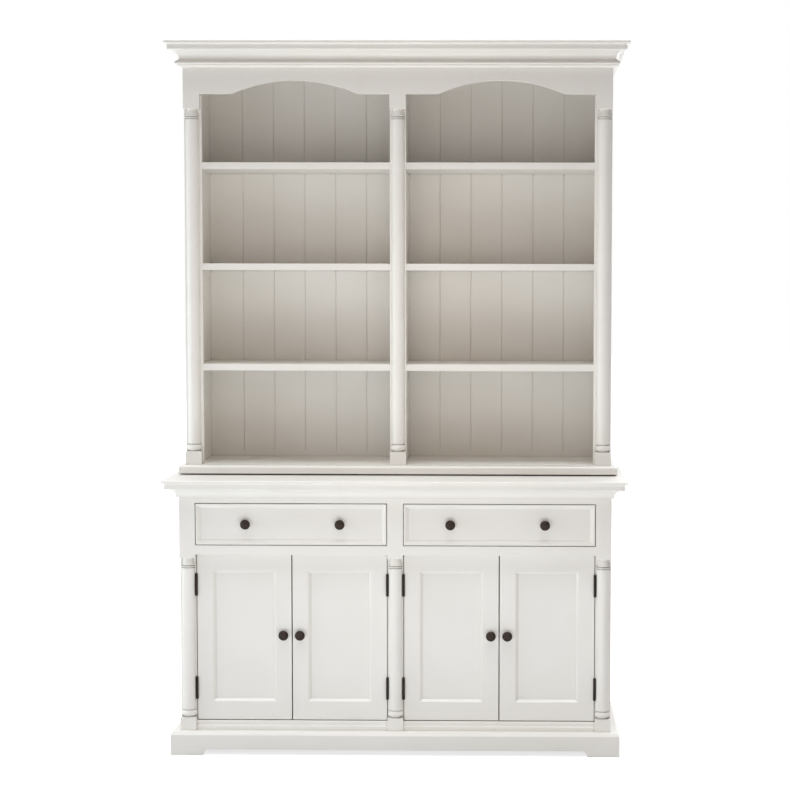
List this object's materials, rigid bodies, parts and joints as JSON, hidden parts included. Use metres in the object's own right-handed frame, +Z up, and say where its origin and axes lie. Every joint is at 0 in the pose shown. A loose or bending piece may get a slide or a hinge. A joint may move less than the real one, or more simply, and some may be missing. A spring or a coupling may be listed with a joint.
{
  "type": "hutch",
  "caption": "Painted two-part hutch: a base with drawers over panelled doors carries an open shelf unit with split columns, arched valance, plank back and moulded crown.",
  "frame": {"origin": "on the floor, in the middle of the overall width and depth", "axes": "+X to the right seen from the front, +Y to the back, +Z up"},
  "size_m": [1.445, 0.5, 2.21],
  "materials": {
    "painted_wood": "satin off-white paint on solid wood",
    "bare_wood": "sanded and clear sealed",
    "knob_metal": "dark bronze, worn satin",
    "hinge_metal": "dark bronze, worn satin",
    "pin_brass": "plain",
    "catch_plastic": "moulded",
    "pad_felt": "pressed felt"
  },
  "bodies": {
    "cabinet": {"base_back": "painted_wood", "base_bottom_rails": "painted_wood", "base_columns": "painted_wood", "base_floor": "painted_wood", "base_partition": "painted_wood", "base_rails": "painted_wood", "base_sides": "painted_wood", "base_stiles": "painted_wood", "base_top": "painted_wood", "base_top_mouldings": "painted_wood", "crown_beads": "painted_wood", "crown_mouldings": "painted_wood", "cupboard_shelves": "painted_wood", "door_catches": "catch_plastic", "drawer_runners": "bare_wood", "dust_panels": "bare_wood", "hinge_leaves": "hinge_metal", "hinge_pins": "hinge_metal", "hutch_back_planks": "painted_wood", "hutch_back_rail": "painted_wood", "hutch_cap": "painted_wood", "hutch_ceiling": "painted_wood", "hutch_columns": "painted_wood", "hutch_floor": "painted_wood", "hutch_floor_mouldings": "painted_wood", "hutch_pads": "pad_felt", "hutch_partition": "painted_wood", "hutch_shelves": "painted_wood", "hutch_sides": "painted_wood", "hutch_stiles": "painted_wood", "hutch_valance": "painted_wood", "plinth_boards": "painted_wood", "shelf_pins": "pin_brass"},
    "drawer_left": {"drawer_left_back": "bare_wood", "drawer_left_bottom": "bare_wood", "drawer_left_front": "painted_wood", "drawer_left_knobs": "knob_metal", "drawer_left_sides": "bare_wood"},
    "drawer_right": {"drawer_right_back": "bare_wood", "drawer_right_bottom": "bare_wood", "drawer_right_front": "painted_wood", "drawer_right_knobs": "knob_metal", "drawer_right_sides": "bare_wood"},
    "door_1": {"door_1_fittings": "hinge_metal", "door_1_frame": "painted_wood", "door_1_knob": "knob_metal", "door_1_panel": "painted_wood"},
    "door_2": {"door_2_fittings": "hinge_metal", "door_2_frame": "painted_wood", "door_2_knob": "knob_metal", "door_2_panel": "painted_wood"},
    "door_3": {"door_3_fittings": "hinge_metal", "door_3_frame": "painted_wood", "door_3_knob": "knob_metal", "door_3_panel": "painted_wood"},
    "door_4": {"door_4_fittings": "hinge_metal", "door_4_frame": "painted_wood", "door_4_knob": "knob_metal", "door_4_panel": "painted_wood"}
  },
  "joints": [
    {"name": "drawer_left_slide", "type": "slide", "parent": "cabinet", "child": "drawer_left", "axis": [0, -1, 0], "range_m": [0, 0.3]},
    {"name": "drawer_right_slide", "type": "slide", "parent": "cabinet", "child": "drawer_right", "axis": [0, -1, 0], "range_m": [0, 0.3]},
    {"name": "door_1_hinge", "type": "hinge", "parent": "cabinet", "child": "door_1", "pos_m": [-0.618, -0.1861, 0.364], "axis": [0, 0, -1], "range_deg": [0, 100]},
    {"name": "door_2_hinge", "type": "hinge", "parent": "cabinet", "child": "door_2", "pos_m": [-0.0255, -0.1861, 0.364], "axis": [0, 0, 1], "range_deg": [0, 90]},
    {"name": "door_3_hinge", "type": "hinge", "parent": "cabinet", "child": "door_3", "pos_m": [0.0255, -0.1861, 0.364], "axis": [0, 0, -1], "range_deg": [0, 90]},
    {"name": "door_4_hinge", "type": "hinge", "parent": "cabinet", "child": "door_4", "pos_m": [0.618, -0.1861, 0.364], "axis": [0, 0, 1], "range_deg": [0, 100]}
  ]
}
